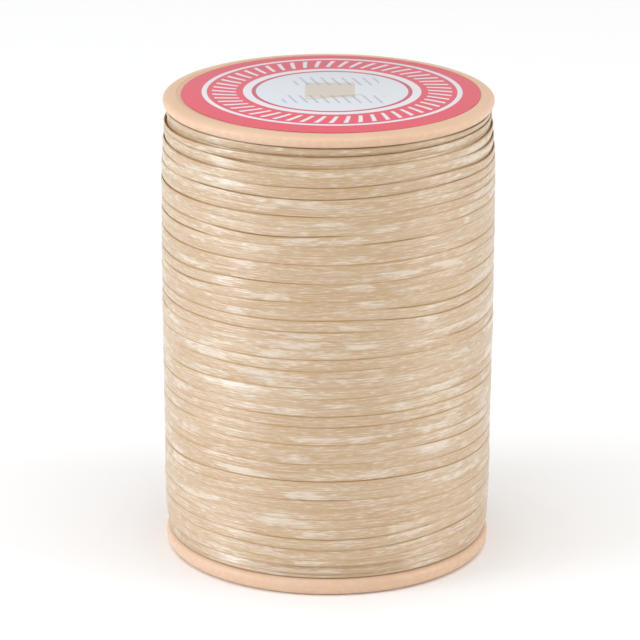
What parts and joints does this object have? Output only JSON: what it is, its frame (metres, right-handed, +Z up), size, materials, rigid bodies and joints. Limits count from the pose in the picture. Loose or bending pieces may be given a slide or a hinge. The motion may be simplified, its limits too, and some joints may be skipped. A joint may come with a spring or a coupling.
{
  "type": "waxed thread spool",
  "caption": "Upright plastic spool of flat waxed leather thread, with plugged-in end flanges, a full even winding and a round paper label on its upper end.",
  "frame": {"origin": "centre of the foot ring, on the surface the spool stands on", "axes": "+Z up along the spool's axis, towards the label; X and Y are any two square directions across the flanges"},
  "size_m": [0.0396, 0.0396, 0.056],
  "materials": {
    "spool_plastic": "satin moulded plastic, pale peach",
    "waxed_thread": "flat waxed polyester thread, cream tan, with a soft waxy sheen",
    "label_paper": "printed coated paper, rose red with white rings and a pale centre"
  },
  "bodies": {
    "root": {"bottom_flange": "spool_plastic", "spool_barrel": "spool_plastic", "top_flange": "spool_plastic", "thread_winding": "waxed_thread", "top_label": "label_paper"}
  },
  "joints": []
}
